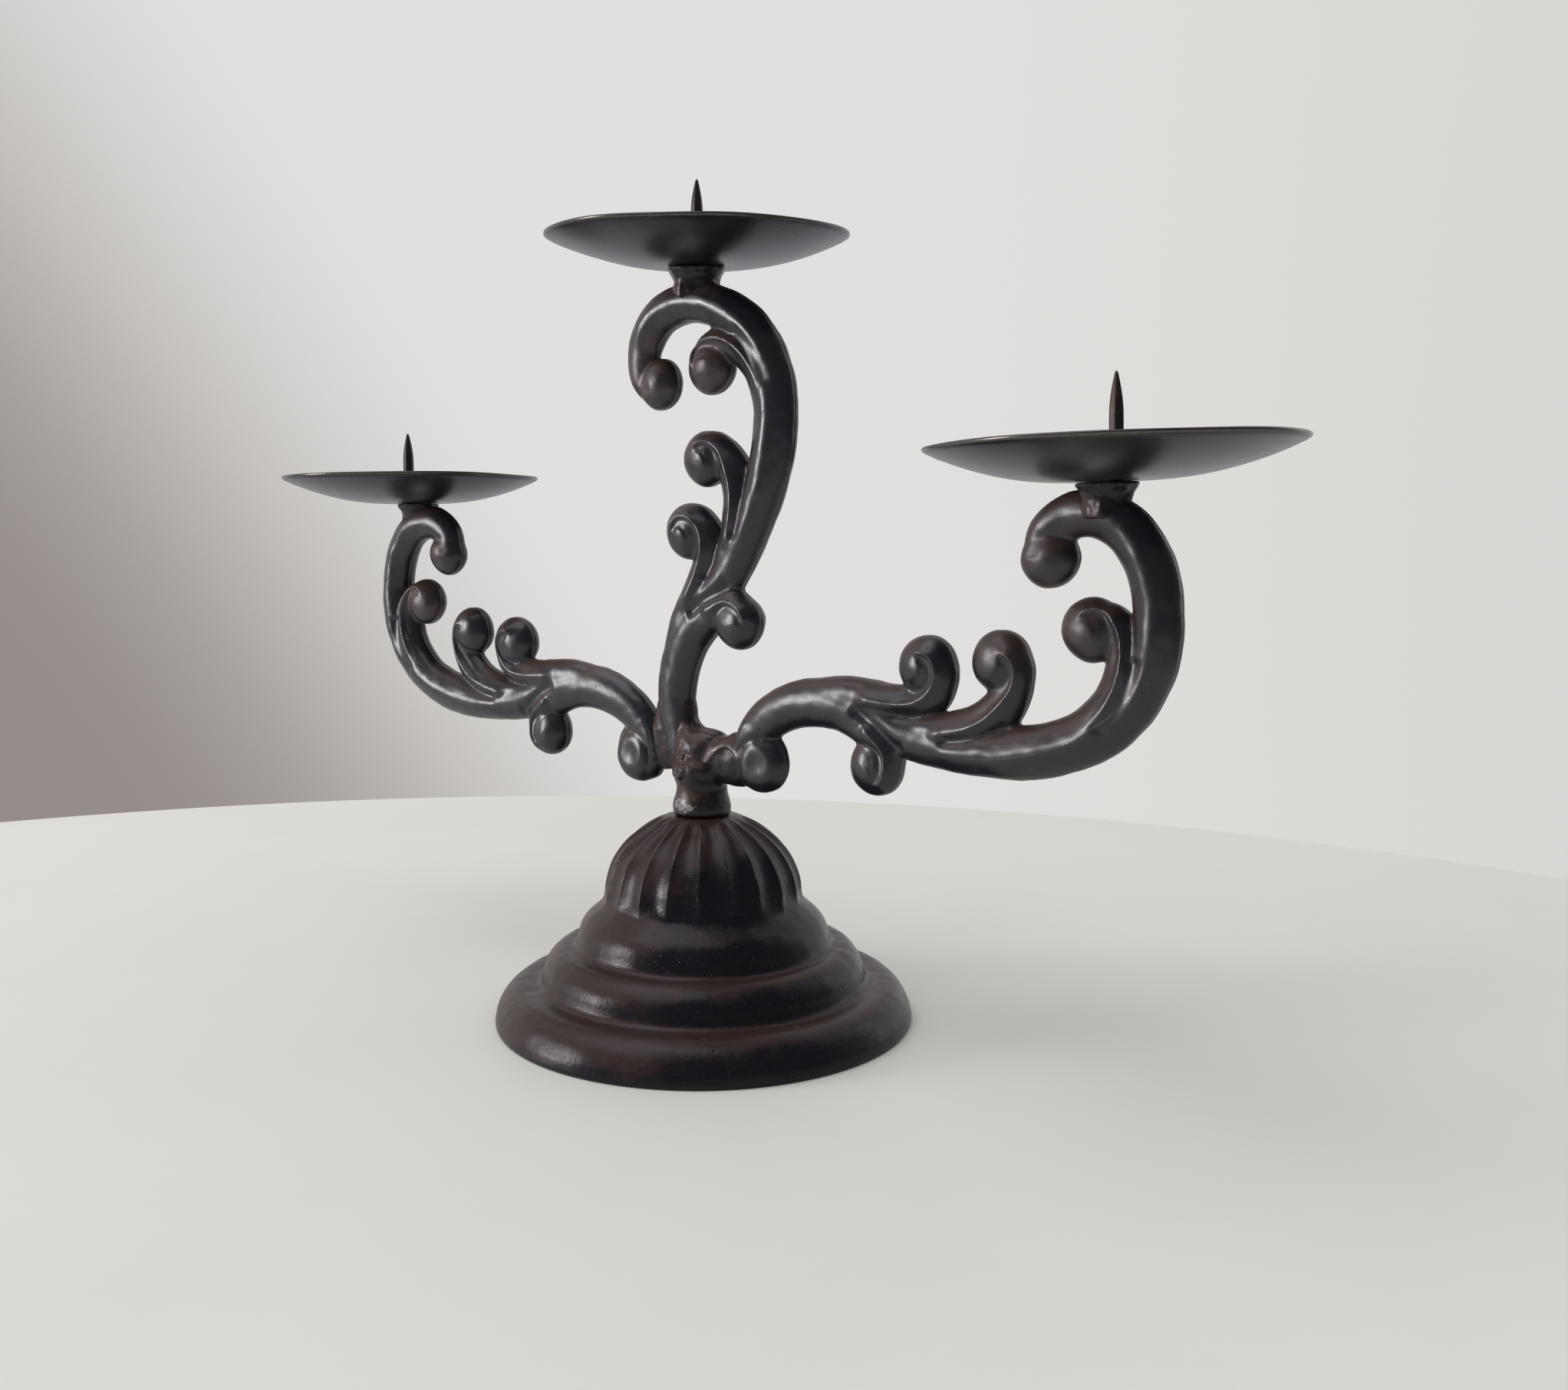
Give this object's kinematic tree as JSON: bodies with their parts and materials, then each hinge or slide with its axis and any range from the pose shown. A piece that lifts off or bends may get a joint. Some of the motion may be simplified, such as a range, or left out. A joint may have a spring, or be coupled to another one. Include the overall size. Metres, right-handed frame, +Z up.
{
  "type": "table candelabrum",
  "caption": "Black iron table candelabrum with scroll arms, dished candle pans with spikes and a fluted bell foot.",
  "frame": {"origin": "on the table under the middle of the bell foot", "axes": "+X along the right arm, +Y away from the front of the arms, +Z up"},
  "size_m": [0.3995, 0.1436, 0.2803],
  "materials": {
    "foot_paint": "satin, brown patina over black",
    "iron_paint": "satin black",
    "arm_paint": "satin blue-black, rubbed on the ridges",
    "pan_paint": "satin grey-black",
    "spike_iron": "dark, slightly rusty",
    "weld": "rough, painted over",
    "zinc_steel": "dull zinc"
  },
  "bodies": {
    "root": {"base_bell": "foot_paint", "base_washer": "zinc_steel", "base_bolt": "zinc_steel", "hub_neck": "iron_paint", "hub_weld_right": "weld", "hub_weld_left": "weld", "arm_right_front_half": "arm_paint", "arm_right_back_half": "arm_paint", "arm_centre_front_half": "arm_paint", "arm_centre_back_half": "arm_paint", "arm_left_front_half": "arm_paint", "arm_left_back_half": "arm_paint", "ferrule_right": "iron_paint", "pan_right": "pan_paint", "spike_right": "spike_iron", "ferrule_centre": "iron_paint", "pan_centre": "pan_paint", "spike_centre": "spike_iron", "ferrule_left": "iron_paint", "pan_left": "pan_paint", "spike_left": "spike_iron"}
  },
  "joints": []
}
